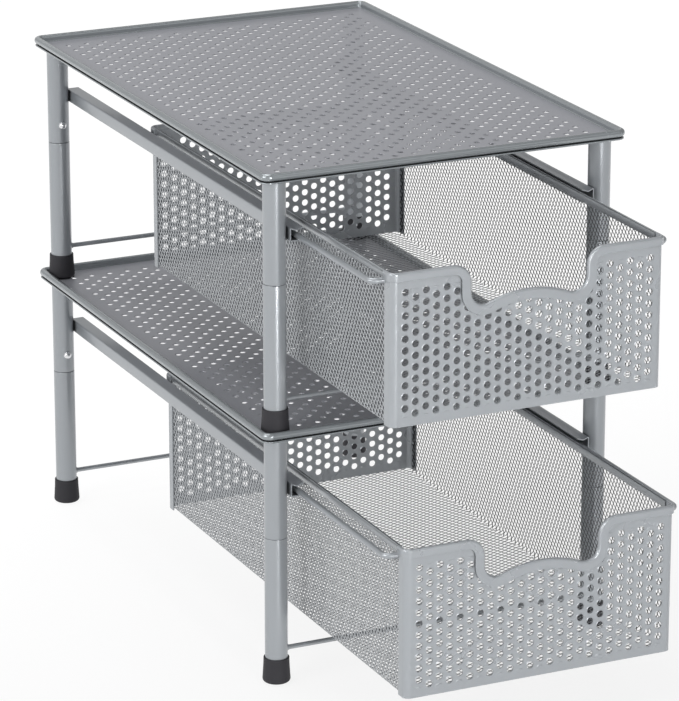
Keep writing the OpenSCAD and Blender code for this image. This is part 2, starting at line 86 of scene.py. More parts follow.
class OrganizerSizes(bpy.types.PropertyGroup):
    tray_w: length("Tray width", "over its rolled rim", 260.6)
    tray_d: length("Tray depth", "over its rolled rim", 402.6)
    tray_corner_r: length("Tray corner radius", "on the outside", 7)
    rim_roll_r: length("Roll radius", "of the tray's rim", 2.5)
    rim_w: length("Rim width", "to the edge of the perforated sheet", 5.1)
    rim_up: length("Rim height", "above the tray floor", 4.5)
    rim_down: length("Rim depth", "below the tray floor", 2.1)
    rim_groove: length("Groove depth", "under the rim's roll", 3.4)
    rim_hem_h: length("Hem height", "under the rim's groove", 1.1)
    rim_hem_in: length("Hem setback", "behind the rim's roll", 0.6)
    tray_t: length("Tray thickness", "of the perforated sheet", 0.6)
    tray_hole_r: length("Tray hole radius", "in the sheet", 2)
    tray_step: length("Tray half step", "between the holes of a row", 6.9)
    unit_h: length("Unit height", "from the feet to the tray floor", 172)
    tube_r: length("Tube radius", "on the outside of a leg", 7.5)
    tube_wall: length("Tube wall", "of a leg", 1)
    leg_inset: length("Leg inset", "from the tray's edge to a leg's axis", 13.8)
    seam_z: length("Joint height", "between a leg and its post", 100.8)
    spigot_h: length("Spigot height", "of the leg's reduced end inside its post", 24)
    screw_z: length("Screw height", "above the feet's underside", 114.1)
    screw_head_r: length("Screw head radius", "at the dome's rim", 2.9)
    screw_head_h: length("Screw head height", "at the dome's middle", 2.5)
    foot_h: length("Foot height", "of the rubber", 17.2)
    foot_top_r: length("Foot top radius", "at the lip round the leg", 8.5)
    foot_base_r: length("Foot base radius", "on the floor", 9.25)
    foot_edge_r: length("Foot rounding", "of its lower edge", 2.2)
    foot_sole: length("Foot sole", "under the end of the tube", 5.2)
    crossbar_z: length("Crossbar height", "of the thin rods between the legs", 22.1)
    crossbar_r: length("Crossbar radius", "of the thin rods between the legs", 1.6)
    channel_z: length("Channel height", "of its underside", 129.1)
    channel_h: length("Channel section", "in height and width", 9)
    channel_t: length("Channel thickness", "of its sheet", 0.8)
    channel_fold_r: length("Channel fold radius", "on the outside", 1.1)
    channel_front: length("Channel front", "past the front legs' axis", 7.5)
    channel_back: length("Channel back", "past the back legs' axis", 2.5)
    lip_len: length("Lip length", "at the channels' mouth, where it is pressed down", 6)
    lip_drop: length("Lip depth", "at the channels' mouth, where it is pressed down", 1.5)
    drawer_w: length("Drawer width", "over its panels", 190)
    drawer_d: length("Drawer depth", "from its face to its back", 381)
    drawer_h: length("Drawer height", "of its panels", 99.7)
    panel_t: length("Panel thickness", "of its sheet", 0.8)
    panel_hole_r: length("Panel hole radius", "in the sheet", 2.35)
    panel_column: length("Panel column distance", "between its holes", 7.1)
    panel_row: length("Panel half row distance", "between its holes", 3.75)
    panel_middle: length("Middle row height", "above the drawer's underside", 49.15)
    panel_corner_r: length("Panel corner radius", "on the outside of its upright bends", 4.5)
    panel_return: length("Panel return", "along the drawer's side", 5)
    scoop_half_w: length("Cut-out half width", "between its straight sides", 40.3)
    scoop_top_r: length("Cut-out shoulder radius", "at its upper corners", 12)
    scoop_low_r: length("Cut-out low radius", "at its low points", 9)
    scoop_depth: length("Cut-out depth", "at its low points", 27.5)
    scoop_crest: length("Cut-out crest depth", "between its low points", 21.3)
    band_w: length("Band width", "along the panel's top edge", 5.6)
    band_scoop_w: length("Band cut-out width", "round the hand cut-out", 6.8)
    band_t: length("Band height", "out from the panel", 1.3)
    band_lip: length("Band lip height", "over its gap to the panel", 1.6)
    mesh_step_a: length("Steep strand distance", "in a side's mesh", 3.434)
    mesh_step_b: length("Flat strand distance", "in a side's mesh", 3.286)
    mesh_strand_w: length("Strand width", "in a side's mesh", 0.72)
    mesh_strand_t: length("Strand thickness", "in a side's mesh", 0.24)
    mesh_lean: length("Strand lean", "of its rear edge out past its front one", 0.18635)
    mesh_drop: length("Mesh drop", "from the panels' top to its upper edge", 2.6)
    floor_step_a: length("Floor strand distance", "one way", 4.27)
    floor_step_b: length("Floor cross distance", "the other way", 3.24)
    floor_strand_w: length("Floor strand width", "in its mesh", 0.75)
    floor_strand_t: length("Floor strand thickness", "in its mesh", 0.12)
    floor_inset: length("Floor inset", "from the drawer's face or back to the mesh", 1.2)
    mesh_t: length("Mesh depth", "between panel and strip", 0.6)
    mesh_fold_r: length("Mesh fold radius", "between side and floor", 3)
    strip_h: length("Strip height", "where it is folded over the mesh", 5.2)
    strip_w: length("Strip width", "over the mesh", 2)
    strip_bead_r: length("Strip bead radius", "along its outer top edge", 0.45)
    strip_gap: length("Strip gap depth", "between its two layers", 2.2)
    runner_r: length("Runner radius", "of the wire", 2)
    runner_out: length("Runner distance", "from the drawer's side to the wire's axis", 8)
    runner_bend_r: length("Runner bend radius", "along the wire's axis", 5)


class OrganizerColours(bpy.types.PropertyGroup):
    tray: colour("Tray paint", "on the perforated sheets", screen_colour(158, 159, 165))
    rim: colour("Rim paint", "on the trays' rolled rims", screen_colour(150, 155, 158))
    tube: colour("Tube paint", "on the legs, rods and channels", screen_colour(160, 164, 168))
    panel: colour("Panel paint", "on the drawers' panels and bands", screen_colour(164, 168, 172))
    strip: colour("Strip paint", "on the strips over the mesh", screen_colour(168, 172, 175))
    mesh: colour("Mesh paint", "on the drawers' sides and floors", screen_colour(176, 179, 182))
    rubber: colour("Foot rubber", "under the legs", screen_colour(46, 45, 49))
    screw: colour("Screw plating", "on the domed heads", screen_colour(225, 226, 228))
    floor: colour("Floor paint", "in the studio", (0.92, 0.92, 0.92))


# Shapes: surfaces worked out as whole arrays, in millimetres


def arc(centre, radius, start, end, steps):
    """Points on a circle: centre + radius * (cos a, sin a), for a from start to end degrees."""
    a = np.radians(np.linspace(start, end, steps))
    return np.stack([centre[0] + radius * np.cos(a), centre[1] + radius * np.sin(a)], -1)


def placed(x, y, z):
    """Points from their three parts, of which any can be one value for all."""
    return np.stack(np.broadcast_arrays(x, y, z), -1).astype(float)


def revolved(profile, steps, centre):
    """Each point (r, z) of the profile goes round the upright axis: centre + (r cos a, r sin a, z)."""
    a = np.linspace(0, 2 * np.pi, steps, endpoint=False)
    r, z = profile[:, 0][:, None], profile[:, 1][:, None]
    return placed(r * np.cos(a), r * np.sin(a), z) + np.asarray(centre, float)


def swept(path, across, up, section):
    """A section carried along a path: path(i) + section(j).x * across(i) + section(j).y * up(i). A direction
    that is given once is the same at every point of the path."""
    section = np.broadcast_to(section, (len(path),) + section.shape[-2:])
    across, up = (np.broadcast_to(np.asarray(way, float), path.shape) for way in (across, up))
    x, y = section[:, :, 0, None], section[:, :, 1, None]
    return path[:, None, :] + x * across[:, None, :] + y * up[:, None, :]


def round_section(radius, steps):
    """The points of a circle about zero."""
    return arc((0, 0), radius, 0, 360, steps + 1)[:-1]


class Shell:
    """Collects closed surfaces. Each is a grid of points whose columns wrap round, and whose rows wrap round
    too or end in a cap."""

    def __init__(self):
        self.points, self.loops, self.starts = [], [], []
        self.point_count = self.loop_count = 0

    def add(self, grid, wrap=False):
        rows, ring = grid.shape[:2]
        i = np.arange(rows if wrap else rows - 1)[:, None]
        j = np.arange(ring)[None, :]
        below, beside = (i + 1) % rows, (j + 1) % ring
        corners = (i * ring + j, i * ring + beside, below * ring + beside, below * ring + j)
        quads = np.stack(np.broadcast_arrays(*corners), -1).reshape(-1, 4)
        caps = [] if wrap else [np.arange(ring)[::-1], (rows - 1) * ring + np.arange(ring)]
        points = grid.reshape(-1, 3)
        # A shell that encloses a negative volume is inside out, so its faces are turned round
        centred = points - points.mean(axis=0)
        a, b, c, d = (centred[quads[:, n]] for n in range(4))
        volume = np.einsum("ij,ij->", a, np.cross(b, c)) + np.einsum("ij,ij->", a, np.cross(c, d))
        for cap in caps:
            p = centred[cap]
            volume += np.einsum("ij,ij->", np.broadcast_to(p[0], p[1:-1].shape), np.cross(p[1:-1], p[2:]))
        if volume < 0:
            quads, caps = quads[:, ::-1], [cap[::-1] for cap in caps]
        loops = np.concatenate([quads.ravel()] + caps) + self.point_count
        face_sizes = np.array([4] * len(quads) + [len(cap) for cap in caps])
        self.points.append(points)
        self.loops.append(loops)
        self.starts.append(self.loop_count + np.concatenate([[0], np.cumsum(face_sizes)[:-1]]))
        self.point_count += len(points)
        self.loop_count += len(loops)
        return self

    def piece(self, unit, name, kind, body, node, sharp=40):
        """Makes one unit's mesh object, in metres, with a kind of finish. It rides on the unit's body and
        takes a CAD node's place. Edges above so many degrees are sharp, and with 0 all faces are flat."""
        points = np.concatenate(self.points) * MM
        loops, starts = np.concatenate(self.loops), np.concatenate(self.starts)
        mesh = bpy.data.meshes.new(f"{unit}_{name}")
        mesh.vertices.add(len(points))
        mesh.vertices.foreach_set("co", points.astype(np.float32).ravel())
        mesh.loops.add(len(loops))
        mesh.loops.foreach_set("vertex_index", loops.astype(np.int32))
        mesh.polygons.add(len(starts))
        mesh.polygons.foreach_set("loop_start", starts.astype(np.int32))
        mesh.update(calc_edges=True)
        if mesh.validate():
            raise RuntimeError(f"{unit}_{name} has faces that Blender had to mend")
        mesh.polygons.foreach_set("use_smooth", np.full(len(starts), sharp > 0))
        if sharp > 0:
            mesh.set_sharp_from_angle(angle=math.radians(sharp))
        mesh.materials.append(finish(kind))
        piece = bpy.data.objects.new(f"{unit}_{name}", mesh)
        bpy.context.scene.collection.objects.link(piece)
        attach(piece, f"{unit}_{body}")
        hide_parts(f"{unit}_{node}")


# Materials

# How far the painted shade reaches from a corner, and the heights of the paint's peel and the holes' edges,
# in metres
PAINTED_SHADE_REACH = 0.003
PEEL_HEIGHT = 0.0002
EDGE_HEIGHT = 0.00018
# Over how much sheet the edge of a hole falls, in millimetres
EDGE_FALL = 0.6
COAT_ROUGHNESS = 0.12

# corner is the share of the colour that the painted shade leaves where no open air reaches
USUAL_FINISH = dict(metallic=0.0, specular=0.5, tint=0.05, spread=0.06, corner=0.3, coat=0.0)
# Each finish: its slot, its colour, the roughness, the scale and depth of the peel, and what isn't as usual
FINISHES = {
    "Tray Paint": ("tray_steel", "tray", 0.4, 1400, 0.2, dict(metallic=0.3, corner=0.12)),
    "Rim Paint": ("tray_steel", "rim", 0.24, 1400, 0.06, dict(metallic=0.6, coat=0.3)),
    "Tube Paint": ("frame_steel", "tube", 0.32, 1200, 0.12, dict(metallic=0.5, coat=0.3)),
    "Panel Paint": ("panel_steel", "panel", 0.28, 1300, 0.08, dict(metallic=0.35, coat=0.2)),
    "Band Paint": ("trim_steel", "panel", 0.27, 1300, 0.08, dict(metallic=0.35, coat=0.3)),
    "Strip Paint": ("trim_steel", "strip", 0.24, 1300, 0.05, dict(metallic=0.6)),
    "Mesh Paint": ("mesh_steel", "mesh", 0.4, 2400, 0.2, dict(metallic=0.25, corner=0.08)),
    "Foot Rubber": ("foot_rubber", "rubber", 0.62, 2600, 0.5, dict(specular=0.35, tint=0.12, spread=0.1)),
    "Screw Plating": ("screw_metal", "screw", 0.12, 2600, 0.05, dict(metallic=1.0, tint=0.03, spread=0.04)),
}


def new_group(name, inputs, outputs):
    """An empty shader node group. inputs are (name, kind of socket, default) and outputs (name, kind)."""
    group = bpy.data.node_groups.new(name, "ShaderNodeTree")
    for label, kind, default in inputs:
        socket = group.interface.new_socket(name=label, in_out="INPUT", socket_type=f"NodeSocket{kind}")
        socket.default_value = default
    for label, kind in outputs:
        group.interface.new_socket(name=label, in_out="OUTPUT", socket_type=f"NodeSocket{kind}")
    return group, group.nodes.new("NodeGroupInput").outputs, group.nodes.new("NodeGroupOutput")


def set_inputs(tree, node, inputs):
    """Fills inputs by name or number: what comes out of another node is linked, and a plain value is set."""
    for key, value in inputs.items():
        if isinstance(value, bpy.types.NodeSocket):
            tree.links.new(value, node.inputs[key])
        else:
            node.inputs[key].default_value = value


def add_node(tree, kind, inputs=None, **settings):
    """Makes a node with its settings and inputs, and returns its outputs."""
    node = tree.nodes.new(kind)
    for key, value in settings.items():
        setattr(node, key, value)
    set_inputs(tree, node, inputs or {})
    return node.outputs


def worked_out(tree, operation, *values):
    """What a Math node makes of its values."""
    return add_node(tree, "ShaderNodeMath", dict(enumerate(values)), operation=operation)[0]


def mapped(tree, value, start, end, low=0.0, high=1.0, way="LINEAR"):
    """A value that goes from start to end, turned into one that goes from low to high."""
    inputs = {"Value": value, "From Min": start, "From Max": end, "To Min": low, "To Max": high}
    return add_node(tree, "ShaderNodeMapRange", inputs, interpolation_type=way)["Result"]


def scaled(tree, shade, factor):
    """A colour times a factor."""
    return add_node(tree, "ShaderNodeVectorMath", {0: shade, "Scale": factor}, operation="SCALE")[0]


def parts_of(tree, vector):
    """A vector's X, Y and Z, by name."""
    return add_node(tree, "ShaderNodeSeparateXYZ", {0: vector})


def mixed(tree, share, first, second):
    """Two shaders, with the second one's share."""
    return add_node(tree, "ShaderNodeMixShader", {"Fac": share, 1: first, 2: second})[0]


def paint_group():
    """Sprayed paint: a fine orange-peel height, a cloudy tint that moves the colour a little, a roughness
    that varies with it, and painted shade that darkens the colour where little open air reaches."""
    if "Sprayed Paint With Painted Shade" in bpy.data.node_groups:
        return bpy.data.node_groups["Sprayed Paint With Painted Shade"]
    inputs = (
        ("Colour", "Color", (0.4, 0.4, 0.4, 1)), ("Vector", "Vector", (0, 0, 0)),
        ("Peel Scale", "Float", 900.0), ("Tint Spread", "Float", 0.05), ("Roughness", "Float", 0.4),
        ("Roughness Spread", "Float", 0.06), ("Open Air", "Float", 1.0), ("Painted Shade Share", "Float", 0.5),
    )
    outputs = (("Colour", "Color"), ("Roughness", "Float"), ("Height", "Float"))
    group, given, result = new_group("Sprayed Paint With Painted Shade", inputs, outputs)
    at = given["Vector"]
    peel = add_node(group, "ShaderNodeTexNoise", {"Vector": at, "Scale": given["Peel Scale"], "Detail": 2.0})
    cloud = add_node(group, "ShaderNodeTexNoise", {"Vector": at, "Scale": 26.0, "Detail": 4.0})
    centred = worked_out(group, "SUBTRACT", cloud["Fac"], 0.5)
    tint = worked_out(group, "MULTIPLY_ADD", centred, given["Tint Spread"], 1.0)
    # Up to 0.15 of open air is a corner with the full painted shade, and from 0.75 on the paint has none
    shade_factor = mapped(group, given["Open Air"], 0.15, 0.75, given["Painted Shade Share"])
    rough = worked_out(group, "MULTIPLY_ADD", centred, given["Roughness Spread"], given["Roughness"])
    shaded_colour = scaled(group, scaled(group, given["Colour"], tint), shade_factor)
    set_inputs(group, result, {"Colour": shaded_colour, "Roughness": rough, "Height": peel["Fac"]})
    return group


def punched_group():
    """The edges of punched holes. The holes stand where a grid's two steps are both even or both odd,
    counted from a hole. The height is 0 on the sheet and falls smoothly to -1 over Fall, towards the hole."""
    if "Punched Edge" in bpy.data.node_groups:
        return bpy.data.node_groups["Punched Edge"]
    names = [f"{way}{what}" for way in ("Across", "Along") for what in ("", " Step", " Count")]
    inputs = [(name, "Float", 1.0) for name in (*names, "Middle", "Radius", "Fall")]
    group, given, result = new_group("Punched Edge", inputs, [("Height", "Float")])

    def distance(across, along):
        joined = add_node(group, "ShaderNodeCombineXYZ", {0: across, 1: along})[0]
        return add_node(group, "ShaderNodeVectorMath", {0: joined}, operation="LENGTH")["Value"]

    evens, odds, inside = [], [], []
    for name, middle in (("Across", 0.0), ("Along", given["Middle"])):
        step = given[f"{name} Step"]
        steps = worked_out(group, "DIVIDE", given[name], step)
        evens.append(worked_out(group, "MULTIPLY", worked_out(group, "PINGPONG", steps, 1.0), step))
        odds.append(worked_out(group, "SUBTRACT", step, evens[-1]))
        counted = worked_out(group, "ABSOLUTE", worked_out(group, "SUBTRACT", steps, middle))
        inside.append(worked_out(group, "LESS_THAN", counted, given[f"{name} Count"]))
    nearest = worked_out(group, "MINIMUM", distance(*evens), distance(*odds))
    sheet = worked_out(group, "ADD", given["Radius"], given["Fall"])
    fall = mapped(group, nearest, given["Radius"], sheet, -1.0, 0.0, "SMOOTHSTEP")
    height = worked_out(group, "MULTIPLY", fall, worked_out(group, "MULTIPLY", *inside))
    set_inputs(group, result, {"Height": height})
    return group


def hole_edges(tree, place, axis, start, steps, counts, radius, middle):
    """The bump at the edges of the holes. The rows follow each other along the axis, with a hole at start.
    The steps, and how many of them the holes reach to each side, are those across the axis and along it, and
    the middle row is some steps from start. The trays' holes are rolled in, and the panels' have lips."""
    parts = parts_of(tree, place)
    given = {
        "Across": parts["X"], "Along": worked_out(tree, "SUBTRACT", parts[axis], start * MM),
        "Middle": middle, "Radius": radius * MM, "Fall": EDGE_FALL * MM,
    }
    for name, step, count in zip(("Across", "Along"), steps, counts):
        given.update({f"{name} Step": step * MM, f"{name} Count": count})
    height = add_node(tree, "ShaderNodeGroup", given, node_tree=punched_group())["Height"]
    inputs = {"Strength": 1.0, "Distance": EDGE_HEIGHT, "Height": height}
    return add_node(tree, "ShaderNodeBump", inputs, invert=axis == "Z")["Normal"]


def inner_side_shade(tree, places):
    """Painted shade on the mesh's inner faces: 1 on the faces that look out of the drawer, down to 0 on those
    that look into it, which are painted darker as if in shade. A face looks out if its normal's X and its
    place's X have the same sign."""
    # The sides are 0.09 m from the middle, so with 0.03 a face is turned well outwards
    facing, side = (parts_of(tree, places[name])["X"] for name in ("Normal", "Object"))
    return mapped(tree, worked_out(tree, "MULTIPLY", facing, side), -0.03, 0.03)


def finish(kind, unit="", holes=None):
    """The material of a kind of finish, or a unit's own one. Its colour, roughness and bump come from the
    sprayed-paint group, which also darkens the colour as painted shade where little open air reaches. holes
    are what hole_edges is told after the place."""
    name = f"{kind} {unit.title()}".strip()
    if name in bpy.data.materials:
        return bpy.data.materials[name]
    _, shade, roughness, scale, depth, other = FINISHES[kind]
    look = {**USUAL_FINISH, **other}
    material = bpy.data.materials.new(name)
    material.use_nodes = True
    tree = material.node_tree
    places = add_node(tree, "ShaderNodeTexCoord")
    # Ambient occlusion darkens the colour in corners, creases and under parts: painted shade
    air = add_node(tree, "ShaderNodeAmbientOcclusion", {"Distance": PAINTED_SHADE_REACH}, samples=8)["AO"]
    # On the mesh, the faces that look into the drawer are painted darker as well: painted shade
    if kind == "Mesh Paint":
        air = worked_out(tree, "MULTIPLY", inner_side_shade(tree, places), air)
    given = {
        "Colour": (*getattr(shades(), shade), 1), "Vector": places["Object"], "Open Air": air,
        "Peel Scale": scale, "Tint Spread": look["tint"], "Roughness": roughness,
        "Roughness Spread": look["spread"], "Painted Shade Share": look["corner"],
    }
    paint = add_node(tree, "ShaderNodeGroup", given, node_tree=paint_group())
    bump = {"Strength": depth, "Distance": PEEL_HEIGHT, "Height": paint["Height"]}
    if holes:
        bump["Normal"] = hole_edges(tree, places["Object"], *holes)
    set_inputs(tree, tree.nodes["Principled BSDF"], {
        "Base Color": paint["Colour"], "Roughness": paint["Roughness"],
        "Normal": add_node(tree, "ShaderNodeBump", bump)["Normal"], "Metallic": look["metallic"],
        "Specular IOR Level": look["specular"], "Coat Weight": look["coat"], "Coat Roughness": COAT_ROUGHNESS,
    })
    return material


def tray_paint(s):
    steps = (s.tray_step, s.tray_step)
    return finish("Tray Paint", holes=("Y", frame_shift(), steps, (16.5, 26.5), s.tray_hole_r, 0.0))


def panel_paint(unit, s):
    """The panels' paint. The rows of holes are at other heights in each unit, so each has its own."""
    start, steps = drawer_origin(unit)[2] + s.panel_middle, (s.panel_column, s.panel_row)
    return finish("Panel Paint", unit, ("Z", start, steps, (12.5, 11.0), s.panel_hole_r, -0.5))


# Places


class Sizes:
    """The sizes in millimetres, by name."""

    def __init__(self):
        for key in OrganizerSizes.__annotations__:
            setattr(self, key, getattr(bpy.context.scene.organizer_sizes, key) / MM)


def shades():
    return bpy.context.scene.organizer_colours


def frame_shift():
    """Where the middle of the trays is along Y, in millimetres, read off the lower tray's box."""
    low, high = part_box("lower_tray_rim")
    return (low[1] + high[1]) / 2 / MM


def unit_lift(unit, s):
    return s.unit_h if unit == "upper" else 0.0


def drawer_origin(unit):
    """Where a drawer's face and underside are, at rest, in millimetres."""
    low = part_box(f"{unit}_drawer_front")[0]
    return np.array([0.0, low[1] / MM, low[2] / MM])


def leg_places(s):
    """The four legs' axes: (name, x, y, sign of y)."""
    x, y = s.tray_w / 2 - s.leg_inset, s.tray_d / 2 - s.leg_inset
    return [(f"{end}_{side}", sx * x, sy * y, sy) for end, sy in ENDS for side, sx in SIDES]


def dress(node, material):
    """Gives a CAD node that stays its better material."""
    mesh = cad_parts[node].data
    if not len(mesh.materials):
        mesh.materials.append(material)
    for n in range(len(mesh.materials)):
        mesh.materials[n] = material


# Operators: one for each piece or group of like pieces


class OrganizerOperator:
    bl_options = {"REGISTER", "UNDO"}


class ORGANIZER_OT_stage(OrganizerOperator, bpy.types.Operator):
    """Set up the pale floor, the soft studio light and the camera"""

    bl_idname = "organizer.stage"
    bl_label = "Studio Stage"

    def execute(self, context):
        scene = context.scene
        scene.view_settings.view_transform = "Standard"
        self.sky(scene)
        self.floor(scene)
        self.lamps(scene)
        self.camera(scene)
        return {"FINISHED"}

    def sky(self, scene):
        """The light of the surroundings, and what is mirrored of them, is dimmer on the right."""
        world = bpy.data.worlds.new("Studio Sky")
        scene.world = world
        world.use_nodes = True
        tree = world.node_tree
        tree.nodes.clear()
        across = parts_of(tree, add_node(tree, "ShaderNodeTexCoord")["Generated"])["X"]

        def background(inputs):
            return add_node(tree, "ShaderNodeBackground", inputs)[0]

        dimmed = mapped(tree, across, -0.8, 0.8, 0.46, 0.26, "SMOOTHSTEP")
        lit = background({"Color": (0.97, 0.985, 1.0, 1), "Strength": dimmed})
        mirrored = background({"Strength": mapped(tree, across, -0.8, 0.8, 0.9, 0.45, "SMOOTHSTEP")})
        seen = background({"Strength": 1.0})
        ray = add_node(tree, "ShaderNodeLightPath")
        unseen = mixed(tree, ray["Is Glossy Ray"], lit, mirrored)
        add_node(tree, "ShaderNodeOutputWorld", {"Surface": mixed(tree, ray["Is Camera Ray"], unseen, seen)})

    def floor(self, scene):
        """Seen or mirrored, the floor is mostly its own white, a little brighter to the back, and the soft
        shadow is faint on it. The light that it throws back is that of matt paint."""
        reach, level, white = 14.0, -0.0004, 0.87
        mesh = bpy.data.meshes.new("studio_floor")
        corners = [(sx * reach, sy * reach, level) for sx, sy in ((-1, -1), (1, -1), (1, 1), (-1, 1))]
        mesh.from_pydata(corners, [], [(0, 1, 2, 3)])
        floor = bpy.data.objects.new("studio_floor", mesh)
        scene.collection.objects.link(floor)
        material = bpy.data.materials.new("Studio Floor")
        material.use_nodes = True
        tree = material.node_tree
        shader = tree.nodes["Principled BSDF"]
        set_inputs(
            tree, shader, {"Base Color": (*shades().floor, 1), "Roughness": 0.9, "Specular IOR Level": 0.1}
        )
        matt = shader.outputs[0]
        backwards = parts_of(tree, add_node(tree, "ShaderNodeTexCoord")["Object"])["Y"]
        glow = {"Strength": mapped(tree, backwards, -0.5, 0.7, 0.955, 1.09, "SMOOTHSTEP")}
        pale = mixed(tree, white, matt, add_node(tree, "ShaderNodeEmission", glow)[0])
        ray = add_node(tree, "ShaderNodeLightPath")
        either = worked_out(tree, "MAXIMUM", ray["Is Camera Ray"], ray["Is Glossy Ray"])
        set_inputs(tree, tree.nodes["Material Output"], {"Surface": mixed(tree, either, matt, pale)})
        mesh.materials.append(material)

    def lamps(self, scene):
        """Each lamp: its name, place, size, power and tint. All of them look at the object's middle."""
        middle = np.array([0.0, 0.0, 0.17])
        for name, place, size, power, tint in (
            ("Key Light", (-2.7, -0.8, 1.5), (1.6, 1.6), 37, (1.0, 0.995, 0.99)),
            ("Front Strip", (-0.12, -1.65, 0.3), (0.1, 0.6), 9, (1.0, 1.0, 1.0)),
            ("Right Softbox", (1.1, -1.9, 2.2), (0.9, 0.9), 2, (0.97, 0.985, 1.0)),
            ("Top Light", (-0.2, 0.6, 2.8), (1.6, 1.6), 27, (1.0, 1.0, 1.0)),
            ("Back Light", (0.6, 2.9, 1.3), (2.4, 0.6), 1.8, (1.0, 1.0, 1.0)),
        ):
            lamp = bpy.data.lights.new(name, "AREA")
            lamp.shape = "RECTANGLE"
            lamp.size, lamp.size_y = size
            lamp.energy = power
            lamp.color = tint
            holder = bpy.data.objects.new(name, lamp)
            holder.location = place
            aim = middle - np.array(place)
            tilt = math.atan2(math.hypot(aim[0], aim[1]), -aim[2])
            holder.rotation_euler = (tilt, 0.0, math.atan2(aim[1], aim[0]) - math.pi / 2)
            scene.collection.objects.link(holder)

    def camera(self, scene):
        """The photograph's view: the place, turn and lens that a fit to the trays' and legs' corners gave."""
        lens = bpy.data.cameras.new("Photo Camera")
        lens.lens = 210.52
        lens.sensor_width = 36.0
        lens.clip_start, lens.clip_end = 0.1, 60.0
        camera = bpy.data.objects.new("Photo Camera", lens)
        camera.location = (-1.1308, (-2455.053 + frame_shift()) * MM, 1.048708)
        camera.rotation_euler = (math.radians(90 - 18.2917), 0.0, math.radians(-25.0516))
        scene.collection.objects.link(camera)
        scene.camera = camera


class ORGANIZER_OT_trays(OrganizerOperator, bpy.types.Operator):
    """Roll the rim round each tray and paint the perforated sheets"""

    bl_idname = "organizer.trays"
    bl_label = "Trays"

    def execute(self, context):
        s = Sizes()
        for unit in UNITS:
            dress(f"{unit}_tray_floor", tray_paint(s))
            self.rim(unit, s)
        return {"FINISHED"}

    def section(self, s):
        """The rim's outline, outwards and up from the sheet's top: the roll, the fillet that runs out on the
        sheet, the way down inside the sheet's edge, the hem with its two rounded edges, and the groove."""
        w, up, down, r = s.rim_w, s.rim_up, s.rim_down, s.rim_roll_r
        groove, hem, back = s.rim_groove, s.rim_hem_h, s.rim_hem_in
        fillet, edge, under, bevel = 0.8, 0.35, 0.7, 0.3
        return np.concatenate([
            arc((-r, up - r), r, -82, 180, 27),
            arc((-w - fillet, fillet + 0.02), fillet, 0, -86, 6),
            [(-w - under, -bevel), (-w, -under), (-w, -down + bevel), (-w + bevel, -down)],
            arc((-back - edge, -down + edge), edge, -90, 0, 5),
            arc((-back - edge, -down + hem - edge), edge, 0, 90, 5),
            [(-groove, -down + hem), (-groove, up - 2 * r + 0.1)],
        ])

    def rim(self, unit, s):
        """The outline carried round the tray's rectangle with rounded corners."""
        r = s.tray_corner_r
        x, y = s.tray_w / 2 - r, s.tray_d / 2 - r
        turns = [((x, y), 0), ((-x, y), 90), ((-x, -y), 180), ((x, -y), 270)]
        plan = np.concatenate([arc(c, r, a, a + 90, 15) for c, a in turns])
        out = np.concatenate([arc((0, 0), 1, a, a + 90, 15) for _, a in turns])
        path = placed(plan[:, 0], plan[:, 1] + frame_shift(), unit_lift(unit, s) + s.unit_h)
        shell = Shell().add(swept(path, placed(*out.T, 0), UP, self.section(s)), wrap=True)
        shell.piece(unit, "rolled_rim", "Rim Paint", "frame", "tray_rim")


class ORGANIZER_OT_tubes(OrganizerOperator, bpy.types.Operator):
    """Make the posts and the legs that slip into them"""

    bl_idname = "organizer.tubes"
    bl_label = "Posts and Legs"

    def execute(self, context):
        s = Sizes()
        r, wall, seam = s.tube_r, s.tube_wall, s.seam_z
        top, spigot = s.unit_h - s.tray_t, seam + s.spigot_h
        # Rounding of the ends that meet, the fine gap between them, the play of the reduced end in its post,
        # and where the leg ends in its foot. The leg's wall steps inwards just under the joint
        edge, gap, play, foot = 0.45, 0.12, 0.1, 5.0
        inner = r - wall
        post = np.concatenate([
            [(r, top), (inner, top), (inner, seam + 0.5)],
            arc((inner + edge, seam + gap + edge), edge, 180, 270, 4),
            arc((r - edge, seam + gap + edge), edge, 270, 360, 6),
        ])
        slim = inner - play
        leg = np.concatenate([
            [(inner, foot), (r, foot)],
            arc((r - edge, seam - edge), edge, 0, 90, 6),
            [(slim, seam), (slim, spigot), (slim - wall, spigot), (slim - wall, seam - 1), (inner, seam - 2)],
        ])
        for unit in UNITS:
            for name, x, y, _ in leg_places(s):
                centre = (x, y + frame_shift(), unit_lift(unit, s))
                for kind, profile in (("post", post), ("leg", leg)):
                    shell = Shell().add(revolved(profile, 64, centre), wrap=True)
                    shell.piece(unit, f"{name}_tube_{kind}", "Tube Paint", "frame", f"{name}_{kind}")
        return {"FINISHED"}


class ORGANIZER_OT_feet(OrganizerOperator, bpy.types.Operator):
    """Mould the tapered rubber feet"""

    bl_idname = "organizer.feet"
    bl_label = "Rubber Feet"

    def execute(self, context):
        s = Sizes()
        top, base, h = s.foot_top_r, s.foot_base_r, s.foot_h
        edge, sole = s.foot_edge_r, s.foot_sole
        # The outline starts and ends close to the axis, and the underside is a little hollow
        axis, hollow, play = 0.02, 0.35, 0.05
        bore = s.tube_r + play
        lip = (top - bore) / 2
        profile = np.concatenate([
            [(axis, hollow), (base * 0.55, hollow), (base * 0.6, 0.0)],
            arc((base - edge, edge), edge, -90, 4, 10),
            # The side falls in a little on its way up to the lip
            [(base - 0.25, h * 0.35), (top + 0.12, h * 0.72), (top + 0.02, h - 1.2)],
            arc((top - lip, h - lip), lip, 0, 180, 9),
            [(bore, sole), (axis, sole)],
        ])
        for unit in UNITS:
            shell = Shell()
            for _, x, y, _ in leg_places(s):
                shell.add(revolved(profile, 56, (x, y + frame_shift(), unit_lift(unit, s))), wrap=True)
            shell.piece(unit, "rubber_feet", "Foot Rubber", "frame", "feet")
        return {"FINISHED"}


